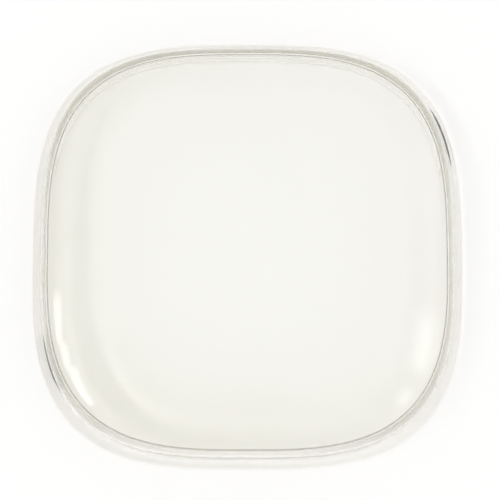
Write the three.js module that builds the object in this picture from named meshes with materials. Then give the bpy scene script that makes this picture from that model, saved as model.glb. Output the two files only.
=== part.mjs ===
// A cushion-shaped wristwatch crystal: one piece of clear moulded acrylic.
//
// The crystal is a low dome on an upright wall, hollow underneath, with a narrow ledge round
// its foot that the watch's bezel presses on. It stands mouth down on the plane z = 0, with
// +Z up through the middle of the dome. Sizes are in millimetres.
//
// Seen from above, the rim is a superellipse. The cross-section is drawn once, from the widest
// line of the rim inwards, and turned about Z by a LatheGeometry. Each point is then moved out
// from the axis until the round levels have the outline. The ledge and the wall have it in
// full, and over the dome it eases to a circle, so that no ridge runs along the diagonals.

import * as THREE from 'three';
import { mergeVertices } from 'three/addons/utils/BufferGeometryUtils.js';

// Outline: an exponent of 2 is a circle, and a larger one is squarer
const HALF_WIDTH = 16.25;
const RIM_EXPONENT = 3.15;
const CROWN_EXPONENT = 2;

// Ledge round the foot
const LEDGE_WIDTH = 0.8;
const LEDGE_HEIGHT = 0.9;
const LEDGE_EDGE_RADIUS = 0.35;
const SEAT_EDGE_RADIUS = 0.3;
const LEDGE_ROOT_RADIUS = 0.08;

// Upright wall and the round shoulder over it
const WALL_THICKNESS = 0.7;
const WALL_TOP = 2.15;
const SHOULDER_RADIUS = 1.5;
const SHOULDER_TURN = 68;

// Dome and the ceiling of the hollow under it
const DOME_HEIGHT = 4.8;
const DOME_THICKNESS = 1.1;
const CEILING_EDGE_HEIGHT = 2.4;
const CEILING_EDGE_SLOPE = 0.4;
const CEILING_CORNER_RADIUS = 0.15;
const MOUTH_EDGE_RADIUS = 0.05;

// Fineness of the mesh
const SEGMENTS = 96;
const EDGE_STEPS = 2;
const CORNER_STEPS = 3;
const FOOT_STEPS = 4;
const SHOULDER_STEPS = 7;
const DOME_STEPS = 9;
const DOME_STEP_CROWDING = 1.5;
const MERGE_DISTANCE = 1e-4;

const radians = THREE.MathUtils.degToRad;

// Points on an arc from one angle to another. Angles are in degrees from the direction that
// points inwards, to the axis, and 90 is up.
function arc(inset, height, radius, from, to, steps) {
  return Array.from({ length: steps + 1 }, (_, step) => {
    const angle = radians(from + ((to - from) * step) / steps);
    return { inset: inset + radius * Math.cos(angle), height: height + radius * Math.sin(angle) };
  });
}

// A crown from a sloping edge to a level top on the axis. The power makes the slope at the edge
// exactly the given one, so the crown runs on smoothly from what it meets there. The steps
// crowd towards the edge, where the curve is tightest.
function crown(inset, height, slope, topHeight, steps) {
  const run = HALF_WIDTH - inset;
  const rise = topHeight - height;
  const power = (slope * run) / rise;
  return Array.from({ length: steps + 1 }, (_, step) => {
    const along = (step / steps) ** DOME_STEP_CROWDING;
    return { inset: inset + run * along, height: height + rise * (1 - (1 - along) ** power) };
  });
}

// The outside, from the seat at z = 0 up over the ledge, the wall and the dome to the axis.
function outsideProfile() {
  const seatEdge = SEAT_EDGE_RADIUS;
  const ledgeEdge = LEDGE_EDGE_RADIUS;
  const root = LEDGE_ROOT_RADIUS;
  const shoulder = arc(
    LEDGE_WIDTH + SHOULDER_RADIUS, WALL_TOP, SHOULDER_RADIUS, 180, 180 - SHOULDER_TURN, SHOULDER_STEPS,
  );
  const shoulderEnd = shoulder.at(-1);
  const domeSlope = Math.tan(radians(90 - SHOULDER_TURN));
  const dome = crown(shoulderEnd.inset, shoulderEnd.height, domeSlope, DOME_HEIGHT, DOME_STEPS);
  return [
    ...arc(seatEdge, seatEdge, seatEdge, 270, 180, FOOT_STEPS),
    ...arc(ledgeEdge, LEDGE_HEIGHT - ledgeEdge, ledgeEdge, 180, 90, FOOT_STEPS),
    ...arc(LEDGE_WIDTH - root, LEDGE_HEIGHT + root, root, 270, 360, EDGE_STEPS),
    ...shoulder,
    ...dome.slice(1),
  ];
}

// The hollow, from the axis out under the dome and down the inside of the wall to the seat.
function hollowProfile() {
  const wallInset = LEDGE_WIDTH + WALL_THICKNESS;
  const tilt = Math.atan(CEILING_EDGE_SLOPE);
  const cornerInset = wallInset + CEILING_CORNER_RADIUS;
  const cornerHeight = CEILING_EDGE_HEIGHT + CEILING_EDGE_SLOPE * CEILING_CORNER_RADIUS
    - CEILING_CORNER_RADIUS / Math.cos(tilt);
  const corner = arc(
    cornerInset, cornerHeight, CEILING_CORNER_RADIUS, 90 + THREE.MathUtils.radToDeg(tilt), 180, CORNER_STEPS,
  );
  const ceilingHeight = DOME_HEIGHT - DOME_THICKNESS;
  const ceiling = crown(
    wallInset, CEILING_EDGE_HEIGHT, CEILING_EDGE_SLOPE, ceilingHeight, DOME_STEPS,
  ).filter((point) => point.inset > cornerInset);
  const mouth = MOUTH_EDGE_RADIUS;
  return [...ceiling.reverse(), ...corner, ...arc(wallInset - mouth, mouth, mouth, 360, 270, EDGE_STEPS)];
}

// The outline's exponent on a level whose half width is given: full at the wall, then easing.
function outlineExponent(halfWidth) {
  const wallHalfWidth = HALF_WIDTH - LEDGE_WIDTH - WALL_THICKNESS;
  const squareness = THREE.MathUtils.smoothstep(halfWidth, 0, wallHalfWidth);
  return THREE.MathUtils.lerp(CROWN_EXPONENT, RIM_EXPONENT, squareness);
}

// How far an outline reaches at an angle about Z, as a share of its half width.
function outlineReach(angle, exponent) {
  const across = Math.abs(Math.cos(angle)) ** exponent;
  const along = Math.abs(Math.sin(angle)) ** exponent;
  return (across + along) ** (-1 / exponent);
}

// Turns the round lathe into the cushion shape, level by level.
function shapeToOutline(geometry) {
  const position = geometry.getAttribute('position');
  for (let index = 0; index < position.count; index += 1) {
    const x = position.getX(index);
    const y = position.getY(index);
    const reach = outlineReach(Math.atan2(y, x), outlineExponent(Math.hypot(x, y)));
    position.setXY(index, x * reach, y * reach);
  }
}

function crystalGeometry() {
  const section = [...outsideProfile(), ...hollowProfile()];
  const points = section.map(
    ({ inset, height }) => new THREE.Vector2(Math.max(HALF_WIDTH - inset, 0), height),
  );
  points.push(points[0].clone());
  const lathe = new THREE.LatheGeometry(points, SEGMENTS);
  lathe.rotateX(Math.PI / 2);
  lathe.deleteAttribute('normal');
  lathe.deleteAttribute('uv');
  const geometry = mergeVertices(lathe, MERGE_DISTANCE);
  shapeToOutline(geometry);
  geometry.computeVertexNormals();
  return geometry;
}

const clearAcrylic = new THREE.MeshStandardMaterial({
  color: 0xf4f2ea,
  roughness: 0.04,
  metalness: 0,
  transparent: true,
  opacity: 0.35,
});

const crystal = new THREE.Mesh(crystalGeometry(), clearAcrylic);
crystal.name = 'crystal';

const watchCrystal = new THREE.Group();
watchCrystal.add(crystal);

export default watchCrystal;
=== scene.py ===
"""The looks of a clear cushion-shaped watch crystal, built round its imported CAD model.

The crystal is one moulding of clear acrylic: a low dome on an upright wall, hollow underneath, with
a narrow ledge round its foot. It lies mouth down on white paper, under the soft sky of a studio.
It is drawn in millimetres and then scaled to metres, the unit of the frame.
"""

import logging
import math
from dataclasses import dataclass
from enum import Enum
from itertools import pairwise

import bpy
import numpy as np
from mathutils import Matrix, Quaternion, Vector


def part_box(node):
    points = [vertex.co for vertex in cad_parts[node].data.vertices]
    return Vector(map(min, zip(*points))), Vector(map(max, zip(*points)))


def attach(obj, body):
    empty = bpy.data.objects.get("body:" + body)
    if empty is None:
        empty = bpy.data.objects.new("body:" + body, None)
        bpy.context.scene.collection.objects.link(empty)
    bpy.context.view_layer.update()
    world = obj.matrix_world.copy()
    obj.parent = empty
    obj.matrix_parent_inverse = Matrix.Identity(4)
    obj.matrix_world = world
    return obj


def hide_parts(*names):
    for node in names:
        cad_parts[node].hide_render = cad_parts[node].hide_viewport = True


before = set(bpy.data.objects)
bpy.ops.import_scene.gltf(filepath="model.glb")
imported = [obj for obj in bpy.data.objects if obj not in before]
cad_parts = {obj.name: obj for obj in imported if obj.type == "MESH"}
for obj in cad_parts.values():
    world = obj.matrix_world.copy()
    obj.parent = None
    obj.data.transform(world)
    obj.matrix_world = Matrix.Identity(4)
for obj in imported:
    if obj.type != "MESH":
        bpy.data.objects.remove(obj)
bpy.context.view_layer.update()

LOG = logging.getLogger("crystal")

MM = 0.001
CAD_NODE = "crystal"
BODY = "root"
MERGE_DISTANCE = 1e-4
PLACE_TOLERANCE = 1e-3

Colour = tuple[float, float, float]
Settings = dict[str, object]
Sockets = dict[str | int, object]


class Edge(Enum):
    """How an edge of the crystal's section is finished: the radius, in millimetres."""

    SMOOTH = 0.0
    MOUTH = 0.05
    LEDGE_ROOT = 0.08
    CEILING_CORNER = 0.14
    SEAT = 0.30
    LEDGE = 0.35


class Axis(Enum):
    """Where a direction sits in a vector's three sockets."""

    X = 0
    Y = 1
    Z = 2


def direction(azimuth: float, elevation: float = 0.0) -> Vector:
    """Turns a heading into a vector.

    Args:
        azimuth: degrees anticlockwise from +X, seen from above.
        elevation: degrees above the horizon.

    Returns:
        The unit vector.
    """
    turn, rise = math.radians(azimuth), math.radians(elevation)
    level = math.cos(rise)
    return Vector((math.cos(turn) * level, math.sin(turn) * level, math.sin(rise)))


# --------------------------------------------------------------------------------------------------
# Shader nodes
# --------------------------------------------------------------------------------------------------


class Graph:
    """The node tree of one material or of the sky, and the one way that nodes are added to it."""

    def __init__(self, tree: bpy.types.NodeTree) -> None:
        """Empties a node tree.

        Args:
            tree: the tree to build in.
        """
        self.tree = tree
        tree.nodes.clear()

    def node(
        self, kind: str, settings: Settings | None = None, sockets: Sockets | None = None
    ) -> bpy.types.Node:
        """Adds a node.

        Args:
            kind: the node's type.
            settings: the node's own settings, set first; "stops" gives a colour ramp's stops.
            sockets: values or links of its input sockets, by name or place.

        Returns:
            The new node.
        """
        made = self.tree.nodes.new(kind)
        for name, value in (settings or {}).items():
            if name == "stops":
                self._set_stops(made.color_ramp, value)
            else:
                setattr(made, name, value)
        for name, value in (sockets or {}).items():
            source = value.socket if isinstance(value, Number) else value
            if isinstance(source, bpy.types.NodeSocket):
                self.tree.links.new(source, made.inputs[name])
            else:
                made.inputs[name].default_value = source
        return made

    @staticmethod
    def _set_stops(ramp: bpy.types.ColorRamp, stops: list[tuple[float, Colour]]) -> None:
        """Gives a colour ramp its stops.

        Args:
            ramp: the ramp, which has two stops when it is new.
            stops: pairs of a place and a colour.
        """
        for _ in stops[2:]:
            ramp.elements.new(1.0)
        for element, (place, colour) in zip(ramp.elements, stops, strict=True):
            element.position = place
            element.color = (*colour, 1.0)

    def part(self, vector: bpy.types.NodeSocket, axis: Axis) -> "Number":
        """Returns one part of a vector."""
        made = self.node("ShaderNodeSeparateXYZ", None, {0: vector})
        return Number(self, made.outputs[axis.value])

    def along(self, vector: bpy.types.NodeSocket, way: Vector) -> "Number":
        """Returns how far a vector reaches along a direction."""
        made = self.node("ShaderNodeVectorMath", {"operation": "DOT_PRODUCT"}, {0: vector, 1: way})
        return Number(self, made.outputs["Value"])

    def noise(self, place: bpy.types.NodeSocket, scale: float, detail: float = 2.0) -> "Number":
        """Adds a noise pattern.

        Args:
            place: the vector that the pattern reads.
            scale: how many features it has for each unit of that vector.
            detail: how many finer layers it has.

        Returns:
            The pattern, around 0.5.
        """
        made = self.node(
            "ShaderNodeTexNoise", None, {"Vector": place, "Scale": scale, "Detail": detail}
        )
        return Number(self, made.outputs["Fac"])

    def mix(
        self, share: "Number", first: bpy.types.NodeSocket | Colour, second: Colour
    ) -> bpy.types.NodeSocket:
        """Mixes two colours.

        Args:
            share: how much of the second colour shows.
            first: the colour where the share is 0.
            second: the colour where it is 1.

        Returns:
            The mixed colour.
        """
        base = (*first, 1.0) if isinstance(first, tuple) else first
        colours = {"Factor": share, "A": base, "B": (*second, 1.0)}
        made = self.node("ShaderNodeMix", {"data_type": "RGBA"}, colours)
        return made.outputs["Result"]


class Number:
    """A number that varies over a surface, as the socket that gives it, for use in arithmetic."""

    def __init__(self, graph: Graph, socket: bpy.types.NodeSocket) -> None:
        """Wraps a socket.

        Args:
            graph: the tree that the socket is in.
            socket: an output socket.
        """
        self.graph = graph
        self.socket = socket

    def _math(self, operation: str, *values: "Number | float") -> "Number":
        """Adds a Math node and returns its result."""
        made = self.graph.node("ShaderNodeMath", {"operation": operation}, dict(enumerate(values)))
        return Number(self.graph, made.outputs[0])

    def __add__(self, other: "Number | float") -> "Number":
        """Returns self + other."""
        return self._math("ADD", self, other)

    def __sub__(self, other: "Number | float") -> "Number":
        """Returns self - other."""
        return self._math("SUBTRACT", self, other)

    def __rsub__(self, other: float) -> "Number":
        """Returns other - self."""
        return self._math("SUBTRACT", other, self)

    def __mul__(self, other: "Number | float") -> "Number":
        """Returns self * other."""
        return self._math("MULTIPLY", self, other)

    def __truediv__(self, other: "Number | float") -> "Number":
        """Returns self / other."""
        return self._math("DIVIDE", self, other)

    def __pow__(self, other: float) -> "Number":
        """Returns self ** other."""
        return self._math("POWER", self, other)

    __radd__ = __add__
    __rmul__ = __mul__

    def __abs__(self) -> "Number":
        """Returns the size of self without its sign."""
        return self._math("ABSOLUTE", self)

    def angle(self, ahead: "Number") -> "Number":
        """Returns the angle, in radians, whose sine and cosine go as self and ahead."""
        return self._math("ARCTAN2", self, ahead)

    def rise(self) -> "Number":
        """Returns the angle, in radians, whose sine is self."""
        return self._math("ARCSINE", self)

    def ramp(self, low: float, high: float) -> "Number":
        """Rises smoothly from 0 where self is low to 1 where it is high.

        Args:
            low: the value that gives 0.
            high: the value that gives 1; it may be the smaller one.

        Returns:
            The mask.
        """
        made = self.graph.node(
            "ShaderNodeMapRange",
            {"interpolation_type": "SMOOTHSTEP"},
            {"Value": self, "From Min": low, "From Max": high},
        )
        return Number(self.graph, made.outputs["Result"])


# --------------------------------------------------------------------------------------------------
# Finishes
# --------------------------------------------------------------------------------------------------


@dataclass(frozen=True)
class MouldLines:
    """Where the moulding's lines run, in millimetres, for a finish that follows them."""

    half_width: float
    exponent: float
    ledge_height: float
    wall_inset: float
    ceiling_edge_height: float


@dataclass(frozen=True)
class DarkReflectionLine:
    """A short painted dark reflection: a near-black line on the ledge, beside the wall's root.

    Its middle is at an azimuth in degrees. In millimetres, it reaches so far to each side along the
    rim, and lies at an inset from the outline, with a width to each side of that.
    """

    azimuth: float
    reach: float
    inset: float
    width: float


@dataclass(frozen=True)
class ClearAcrylic:
    """Clear moulded acrylic: polished, faintly warm where it is thick, lightly scuffed by handling;
    its colour carries painted shade and painted dark reflections.

    Lengths are in millimetres, apart from the two depths of relief, which are in metres.
    """

    refraction: float = 1.49
    tint_colour: Colour = (0.31, 0.27, 0.06)
    tint_density: float = 16.0

    clean_colour: Colour = (0.975, 0.975, 0.962)
    # Painted shade: the colour darkens and warms towards the rim, more towards the corner at minus
    # X and minus Y.
    rim_shade_colour: Colour = (0.925, 0.920, 0.875)
    rim_shade_share: float = 0.7
    rim_shade_lean: float = 0.7
    cloud_scale: float = 0.3
    cloud_depth: float = 0.3
    rim_colour: Colour = (1.0, 0.995, 0.985)
    rim_blend: float = 0.2

    # Painted shade: a thin dark line painted at the hollow's upper inner corner, where the rim
    # shows a line of shade.
    corner_shade_colour: Colour = (0.36, 0.34, 0.30)
    corner_shade_width: float = 0.05
    # Painted dark reflections: short near-black lines on the ledge near two corners, where dark
    # reflections show.
    dark_reflection_colour: Colour = (0.03, 0.03, 0.03)
    dark_reflection_height: float = 0.2
    dark_reflection_lines: tuple[DarkReflectionLine, ...] = (
        DarkReflectionLine(azimuth=209.0, reach=3.2, inset=0.70, width=0.08),
        DarkReflectionLine(azimuth=31.0, reach=3.2, inset=0.38, width=0.05),
    )

    smear_scale: float = 0.22
    haze: float = 0.05
    ground_seat: float = 0.35
    ground_height: float = 0.03

    ripple_scale: float = 0.5
    ripple_depth: float = 2.0e-6
    scratch_heading: float = 38.0
    scratch_grain: tuple[float, float, float] = (6.0, 0.25, 1.0)
    scratch_depth: float = 4.0e-7

    def material(self, lines: MouldLines) -> bpy.types.Material:
        """Builds the material.

        Args:
            lines: where the moulding's lines run.

        Returns:
            The material.
        """
        made = bpy.data.materials.new("clear_acrylic")
        made.use_nodes = True
        graph = Graph(made.node_tree)
        position = graph.node("ShaderNodeTexCoord").outputs["Object"]
        scaled = graph.node("ShaderNodeMapping", None, {"Vector": position, "Scale": (1 / MM,) * 3})
        place = scaled.outputs["Vector"]
        across = abs(graph.part(place, Axis.X)) ** lines.exponent
        along = abs(graph.part(place, Axis.Y)) ** lines.exponent
        inset = lines.half_width - (across + along) ** (1 / lines.exponent)

        shader = graph.node(
            "ShaderNodeBsdfPrincipled",
            None,
            {
                "Base Color": self._colour(graph, place, inset, lines),
                "Roughness": self._roughness(graph, place),
                "IOR": self.refraction,
                "Transmission Weight": 1.0,
                "Normal": self._normal(graph, place),
            },
        )
        tint = graph.node(
            "ShaderNodeVolumeAbsorption",
            None,
            {"Color": (*self.tint_colour, 1.0), "Density": self.tint_density},
        )
        graph.node(
            "ShaderNodeOutputMaterial",
            None,
            {"Surface": shader.outputs[0], "Volume": tint.outputs[0]},
        )
        return made

    def _colour(
        self, graph: Graph, place: bpy.types.NodeSocket, inset: Number, lines: MouldLines
    ) -> bpy.types.NodeSocket:
        """Paints it clear, with painted shade towards the rim and in the hollow's upper corner, and
        painted dark reflections on the ledge.

        Args:
            graph: the material's tree.
            place: the place on the piece, in millimetres.
            inset: the distance inwards from the outline.
            lines: where the moulding's lines run.

        Returns:
            The colour.
        """
        # Painted shade: the dome's colour darkens and warms outwards to the rim, leaning towards
        # the corner at minus X and minus Y, in soft clouds.
        corner = graph.part(place, Axis.X) + graph.part(place, Axis.Y)
        lean = self.rim_shade_lean - corner / (3 * lines.half_width)
        cloud = graph.noise(place, self.cloud_scale).ramp(0.3, 0.75)
        clouds = cloud * self.cloud_depth + (1 - self.cloud_depth / 2)
        outward = inset.ramp(lines.half_width * self.rim_shade_share, 0.0)
        dome = graph.mix(outward * lean * clouds, self.clean_colour, self.rim_shade_colour)
        # The rim itself is kept clear of that painted shade.
        blend = self.rim_blend
        rim = inset.ramp(lines.wall_inset + blend, lines.wall_inset - blend)
        body = graph.mix(rim, dome, self.rim_colour)

        height = graph.part(place, Axis.Z)
        above = abs(height - lines.ledge_height)
        on_ledge = above.ramp(1.5 * self.dark_reflection_height, self.dark_reflection_height)
        # Painted dark reflections: short near-black lines on the ledge near two corners.
        for line in self.dark_reflection_lines:
            share = self._beside_rim(graph, place, inset, line) * on_ledge
            body = graph.mix(share, body, self.dark_reflection_colour)

        # Painted shade: a thin dark line along the hollow's upper inner corner.
        width = self.corner_shade_width
        beside = abs(inset - (lines.wall_inset + width)).ramp(2 * width, width)
        under = abs(height - (lines.ceiling_edge_height - width)).ramp(4 * width, 3 * width)
        return graph.mix(beside * under, body, self.corner_shade_colour)

    @staticmethod
    def _beside_rim(
        graph: Graph, place: bpy.types.NodeSocket, inset: Number, line: DarkReflectionLine
    ) -> Number:
        """Masks the place of a painted dark reflection line, widest in its middle, at every height.

        Args:
            graph: the material's tree.
            place: the place on the piece, in millimetres.
            inset: the distance inwards from the outline.
            line: the painted dark reflection line.

        Returns:
            The mask.
        """
        on_this_side = graph.along(place, direction(line.azimuth)).ramp(0.0, 1.0)
        off_middle = abs(graph.along(place, direction(line.azimuth + 90.0)))
        taper = off_middle.ramp(line.reach, 0.3 * line.reach)
        off_line = abs(inset - line.inset) / line.width
        return (taper * 1.5 - off_line).ramp(0.0, 0.5) * on_this_side

    def _roughness(self, graph: Graph, place: bpy.types.NodeSocket) -> Number:
        """Polishes it, with smears of handling haze, and leaves the seat ground.

        Args:
            graph: the material's tree.
            place: the place on the piece, in millimetres.

        Returns:
            The roughness.
        """
        smears = graph.noise(place, self.smear_scale, 4.0).ramp(0.5, 0.8) * self.haze
        seat = graph.part(place, Axis.Z).ramp(self.ground_height, self.ground_height / 3)
        return smears + seat * self.ground_seat

    def _normal(self, graph: Graph, place: bpy.types.NodeSocket) -> bpy.types.NodeSocket:
        """Gives the surface the long ripple of a moulding, under fine hairline scratches.

        Args:
            graph: the material's tree.
            place: the place on the piece, in millimetres.

        Returns:
            The normal.
        """
        waves = graph.noise(place, self.ripple_scale, 0.0)
        ripple = graph.node(
            "ShaderNodeBump", None, {"Distance": self.ripple_depth, "Height": waves}
        )
        heading = (0.0, 0.0, math.radians(self.scratch_heading))
        turned = graph.node(
            "ShaderNodeMapping",
            None,
            {"Vector": place, "Rotation": heading, "Scale": self.scratch_grain},
        )
        hairs = graph.noise(turned.outputs["Vector"], 1.0, 1.0).ramp(0.70, 0.74)
        scratches = graph.node(
            "ShaderNodeBump",
            None,
            {"Distance": self.scratch_depth, "Height": hairs, "Normal": ripple.outputs[0]},
        )
        return scratches.outputs[0]


@dataclass(frozen=True)
class WhitePaper:
    """Smooth white paper with a fine, barely visible fibre."""

    colour: Colour = (0.94, 0.94, 0.94)
    fibre_colour: Colour = (0.935, 0.935, 0.932)
    roughness: float = 0.9
    gloss: float = 0.1
    fibre_scale: float = 900.0
    fibre_depth: float = 5.0e-6

    def material(self) -> bpy.types.Material:
        """Builds the material and returns it."""
        made = bpy.data.materials.new("white_paper")
        made.use_nodes = True
        graph = Graph(made.node_tree)
        position = graph.node("ShaderNodeTexCoord").outputs["Object"]
        fibre = graph.noise(position, self.fibre_scale, 3.0)
        bump = graph.node("ShaderNodeBump", None, {"Distance": self.fibre_depth, "Height": fibre})
        shader = graph.node(
            "ShaderNodeBsdfPrincipled",
            None,
            {
                "Base Color": graph.mix(fibre, self.colour, self.fibre_colour),
                "Roughness": self.roughness,
                "Specular IOR Level": self.gloss,
                "Normal": bump.outputs[0],
            },
        )
        graph.node("ShaderNodeOutputMaterial", None, {"Surface": shader.outputs[0]})
        return made


# --------------------------------------------------------------------------------------------------
# The crystal
# --------------------------------------------------------------------------------------------------


@dataclass(frozen=True)
class SectionPoint:
    """A point of the crystal's section, in millimetres."""

    inset: float
    height: float
    edge: Edge = Edge.SMOOTH


@dataclass
class Crystal:
    """The moulding: a section spun about Z, eased from round to the cushion outline.

    Lengths are in millimetres. An inset is a distance inwards from the widest line of the rim.
    """

    half_width: float
    height: float
    finish: ClearAcrylic
    rim_exponent: float = 3.15
    crown_exponent: float = 2.0
    ledge_width: float = 0.8
    ledge_height: float = 0.9
    wall_thickness: float = 0.7
    wall_top: float = 2.15
    shoulder_radius: float = 1.5
    shoulder_turn: float = math.radians(68)
    dome_thickness: float = 1.1
    ceiling_edge_height: float = 2.4
    ceiling_edge_slope: float = 0.4
    segments: int = 720
    shoulder_steps: int = 14
    crown_steps: int = 26
    crown_crowding: float = 1.5
    edge_steps: int = 8

    def build(self) -> bpy.types.Object:
        """Models and dresses the crystal and returns it, in metres, at the origin."""
        piece = self._spin_section()
        self._mark_edges(piece)
        self._shape_to_outline(piece)
        self._round_edges(piece)
        self._scale_to_metres(piece)
        piece.data.materials.append(self.finish.material(self.lines()))
        return piece

    def lines(self) -> MouldLines:
        """Returns the places on the moulding that its finish follows."""
        return MouldLines(
            half_width=self.half_width,
            exponent=self.rim_exponent,
            ledge_height=self.ledge_height,
            wall_inset=self.ledge_width + self.wall_thickness,
            ceiling_edge_height=self.ceiling_edge_height,
        )

    def section(self) -> list[SectionPoint]:
        """Returns the closed section, up the outside from the seat and down the hollow."""
        wall_inset = self.ledge_width + self.wall_thickness
        shoulder = self._shoulder()
        dome_slope = math.tan(math.pi / 2 - self.shoulder_turn)
        dome = self._crown(shoulder[-1].inset, shoulder[-1].height, dome_slope, self.height)
        ceiling_top = self.height - self.dome_thickness
        ceiling = self._crown(
            wall_inset, self.ceiling_edge_height, self.ceiling_edge_slope, ceiling_top
        )
        seat_corner = SectionPoint(0.0, 0.0, Edge.SEAT)
        return [
            seat_corner,
            SectionPoint(0.0, self.ledge_height, Edge.LEDGE),
            SectionPoint(self.ledge_width, self.ledge_height, Edge.LEDGE_ROOT),
            *shoulder,
            *dome[1:],
            *reversed(ceiling[1:]),
            SectionPoint(wall_inset, self.ceiling_edge_height, Edge.CEILING_CORNER),
            SectionPoint(wall_inset, 0.0, Edge.MOUTH),
            seat_corner,
        ]

    def _shoulder(self) -> list[SectionPoint]:
        """Returns the arc that turns the wall into the dome."""
        return [
            SectionPoint(
                self.ledge_width + self.shoulder_radius * (1 - math.cos(angle)),
                self.wall_top + self.shoulder_radius * math.sin(angle),
            )
            for angle in np.linspace(0.0, self.shoulder_turn, self.shoulder_steps + 1).tolist()
        ]

    def _crown(self, inset: float, height: float, slope: float, top: float) -> list[SectionPoint]:
        """Returns a curve from a sloping edge to a level top on the axis.

        Args:
            inset: the inset of its edge.
            height: the height of its edge.
            slope: how steeply it rises at its edge.
            top: its height on the axis.

        Returns:
            Its points, which crowd towards the edge, where it is tightest.
        """
        run = self.half_width - inset
        rise = top - height
        power = slope * run / rise
        shares = np.linspace(0.0, 1.0, self.crown_steps + 1) ** self.crown_crowding
        return [
            SectionPoint(inset + run * along, height + rise * (1 - (1 - along) ** power))
            for along in shares.tolist()
        ]

    def _spin_section(self) -> bpy.types.Object:
        """Draws the section by extruding a point, spins it about Z and closes it."""
        places = [Vector((self.half_width - p.inset, 0.0, p.height)) for p in self.section()]
        bpy.ops.object.select_all(action="DESELECT")
        bpy.ops.mesh.primitive_plane_add(size=1.0, location=(0.0, 0.0, 0.0))
        piece = bpy.context.object
        piece.name = piece.data.name = "crystal_moulding"
        bpy.ops.object.mode_set(mode="EDIT")
        bpy.ops.mesh.merge(type="CENTER")
        bpy.ops.transform.translate(value=places[0])
        for here, there in pairwise(places):
            bpy.ops.mesh.extrude_region_move(TRANSFORM_OT_translate={"value": there - here})
        bpy.ops.mesh.select_all(action="SELECT")
        bpy.ops.mesh.spin(
            steps=self.segments, angle=math.tau, center=(0.0, 0.0, 0.0), axis=(0.0, 0.0, 1.0)
        )
        bpy.ops.mesh.select_all(action="SELECT")
        bpy.ops.mesh.remove_doubles(threshold=MERGE_DISTANCE)
        bpy.ops.mesh.normals_make_consistent(inside=False)
        bpy.ops.object.mode_set(mode="OBJECT")
        return piece

    def _mark_edges(self, piece: bpy.types.Object) -> None:
        """Weights the section's corners for the bevel, while the levels are still round."""
        mesh = piece.data
        place = self._places(mesh)
        inset = self.half_width - np.hypot(place[:, 0], place[:, 1])
        ends = np.empty(len(mesh.edges) * 2, dtype=np.int32)
        mesh.edges.foreach_get("vertices", ends)
        ends = ends.reshape(-1, 2)
        weights = np.zeros(len(mesh.edges), dtype=np.float32)
        for point in self.section():
            here = np.isclose(inset, point.inset, atol=PLACE_TOLERANCE)
            here &= np.isclose(place[:, 2], point.height, atol=PLACE_TOLERANCE)
            weights[here[ends].all(axis=1)] = point.edge.value / Edge.LEDGE.value
        mesh.attributes.new("bevel_weight_edge", "FLOAT", "EDGE").data.foreach_set("value", weights)

    def _shape_to_outline(self, piece: bpy.types.Object) -> None:
        """Moves each point out from the axis until its level has the cushion outline."""
        mesh = piece.data
        place = self._places(mesh)
        level = np.hypot(place[:, 0], place[:, 1])
        easing = np.clip(level / (self.half_width - self.ledge_width - self.wall_thickness), 0, 1)
        squareness = easing**2 * (3 - 2 * easing)
        exponent = self.crown_exponent + (self.rim_exponent - self.crown_exponent) * squareness
        direction = place[:, :2] / np.maximum(level, 1e-9)[:, None]
        reach = (np.abs(direction) ** exponent[:, None]).sum(axis=1)
        on_axis = reach == 0
        reach[on_axis] = 1.0
        place[:, :2] *= (reach ** (-1 / exponent))[:, None]
        mesh.vertices.foreach_set("co", place.ravel())
        mesh.update()

    def _round_edges(self, piece: bpy.types.Object) -> None:
        """Rounds the marked corners, and keeps the flats between them optically flat."""
        bpy.ops.object.shade_smooth()
        bevel = piece.modifiers.new("edges", "BEVEL")
        bevel.limit_method = "WEIGHT"
        bevel.width = Edge.LEDGE.value
        bevel.segments = self.edge_steps
        bpy.ops.object.modifier_apply(modifier=bevel.name)
        flats = piece.modifiers.new("flats", "WEIGHTED_NORMAL")
        bpy.ops.object.modifier_apply(modifier=flats.name)

    @staticmethod
    def _scale_to_metres(piece: bpy.types.Object) -> None:
        """Scales the piece to metres and applies that."""
        piece.scale = (MM,) * 3
        bpy.ops.object.transform_apply(location=False, rotation=False, scale=True)

    @staticmethod
    def _places(mesh: bpy.types.Mesh) -> np.ndarray:
        """Returns the places of a mesh's points, one row each."""
        place = np.empty(len(mesh.vertices) * 3, dtype=np.float32)
        mesh.vertices.foreach_get("co", place)
        return place.reshape(-1, 3).astype(np.float64)


# --------------------------------------------------------------------------------------------------
# The studio
# --------------------------------------------------------------------------------------------------


@dataclass(frozen=True)
class SkyPatch:
    """A soft-edged panel of the studio sky that is brighter or darker than the rest.

    Angles are in degrees. The panel reaches width to each side of its azimuth, and height above and
    below its elevation.
    """

    azimuth: float
    elevation: float
    width: float
    height: float
    softness: float
    strength: float


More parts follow.
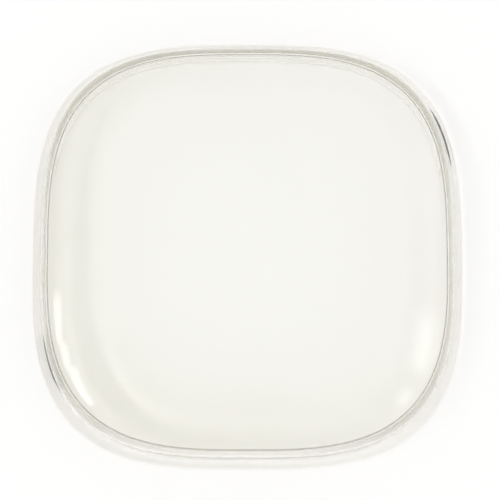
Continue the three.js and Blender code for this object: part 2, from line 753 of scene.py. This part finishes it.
@dataclass
class StudioSky:
    """Even light from above that falls off towards the horizon, with a few soft patches."""

    horizon: Colour = (0.82, 0.80, 0.77)
    low: Colour = (0.95, 0.93, 0.90)
    high: Colour = (1.0, 1.0, 1.0)
    low_at: float = 0.25
    high_at: float = 0.6
    patches: tuple[SkyPatch, ...] = (
        SkyPatch(azimuth=179, elevation=44.5, width=6, height=2.5, softness=2, strength=5.0),
        SkyPatch(azimuth=190, elevation=47.5, width=5, height=2.5, softness=2, strength=5.0),
        SkyPatch(azimuth=206, elevation=50.5, width=11, height=2.5, softness=2, strength=5.0),
        SkyPatch(azimuth=-6, elevation=54, width=10, height=5, softness=5, strength=1.5),
        SkyPatch(azimuth=-33, elevation=53, width=5, height=4, softness=4, strength=1.5),
        SkyPatch(azimuth=100, elevation=45, width=65, height=12, softness=8, strength=-0.2),
    )

    def build(self) -> None:
        """Makes the sky the scene's world."""
        world = bpy.data.worlds.new("studio_sky")
        bpy.context.scene.world = world
        world.use_nodes = True
        graph = Graph(world.node_tree)
        look = graph.node("ShaderNodeTexCoord").outputs["Generated"]
        stops = [(0.0, self.horizon), (self.low_at, self.low), (self.high_at, self.high)]
        ramp = graph.node(
            "ShaderNodeValToRGB", {"stops": stops}, {"Fac": graph.part(look, Axis.Z)}
        )
        strength = sum((self._patch(graph, look, patch) for patch in self.patches), 1.0)
        background = graph.node(
            "ShaderNodeBackground", None, {"Color": ramp.outputs["Color"], "Strength": strength}
        )
        graph.node("ShaderNodeOutputWorld", None, {"Surface": background.outputs[0]})

    @staticmethod
    def _patch(graph: Graph, look: bpy.types.NodeSocket, patch: SkyPatch) -> Number:
        """Gives what a patch adds to the sky's strength.

        Args:
            graph: the sky's tree.
            look: the direction that is looked in.
            patch: the patch.

        Returns:
            The added strength.
        """
        ahead = graph.along(look, direction(patch.azimuth))
        aside = graph.along(look, direction(patch.azimuth + 90.0))
        across = abs(aside.angle(ahead))
        above = abs(graph.part(look, Axis.Z).rise() - math.radians(patch.elevation))
        soft = patch.softness
        sides = across.ramp(math.radians(patch.width + soft), math.radians(patch.width - soft))
        ends = above.ramp(math.radians(patch.height + soft), math.radians(patch.height - soft))
        return sides * ends * patch.strength


@dataclass
class PaperTable:
    """A wide sheet of white paper under the crystal."""

    finish: WhitePaper
    half_size: float = 1.0
    clearance: float = 2.0e-5

    def build(self) -> None:
        """Lays the sheet just under the crystal's seat."""
        bpy.ops.object.select_all(action="DESELECT")
        bpy.ops.mesh.primitive_plane_add(
            size=2 * self.half_size, location=(0.0, 0.0, -self.clearance)
        )
        sheet = bpy.context.object
        sheet.name = "paper_table"
        sheet.data.materials.append(self.finish.material())


@dataclass
class Viewpoint:
    """The camera, nearly overhead and tilted a little towards the near edge."""

    elevation: float = 81.5
    azimuth: float = -91.0
    roll: float = 1.0
    distance: float = 0.12
    target: tuple[float, float, float] = (0.00016, 0.00015, 0.001)
    width_share: float = 0.86
    sensor: float = 36.0

    def build(self, width: float) -> None:
        """Makes the scene's camera.

        Args:
            width: the crystal's width in metres, which fills width_share of the frame.
        """
        data = bpy.data.cameras.new("viewpoint")
        camera = bpy.data.objects.new("viewpoint", data)
        bpy.context.scene.collection.objects.link(camera)
        bpy.context.scene.camera = camera
        back = direction(self.azimuth, self.elevation)
        camera.location = Vector(self.target) + back * self.distance
        camera.rotation_mode = "QUATERNION"
        turn = Quaternion((0.0, 0.0, 1.0), math.radians(self.roll))
        camera.rotation_quaternion = (-back).to_track_quat("-Z", "Y") @ turn
        data.sensor_width = self.sensor
        data.lens = self.sensor * self.distance * self.width_share / width
        data.clip_start = self.distance / 100


def expose(stops: float, bounces: int) -> None:
    """Sets how the scene is seen, with light followed all the way round inside the rim.

    Args:
        stops: the exposure.
        bounces: how often light may pass through or off a surface.
    """
    scene = bpy.context.scene
    scene.view_settings.view_transform = "Standard"
    scene.view_settings.exposure = stops
    scene.cycles.max_bounces = bounces
    scene.cycles.transmission_bounces = bounces
    scene.cycles.glossy_bounces = bounces
    scene.cycles.diffuse_bounces = bounces
    scene.cycles.blur_glossy = 0.0


def main() -> None:
    """Builds the studio and the crystal, and logs the crystal's face count."""
    logging.basicConfig(level=logging.INFO, format="%(message)s")
    low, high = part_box(CAD_NODE)
    width, height = (high - low).x, (high - low).z

    Viewpoint().build(width)
    StudioSky().build()
    PaperTable(WhitePaper()).build()
    expose(stops=0.07, bounces=96)

    crystal = Crystal(width / 2 / MM, height / MM, ClearAcrylic()).build()
    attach(crystal, BODY)
    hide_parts(CAD_NODE)
    LOG.info("%s: %d faces", crystal.name, len(crystal.data.polygons))


if __name__ == "__main__":
    main()
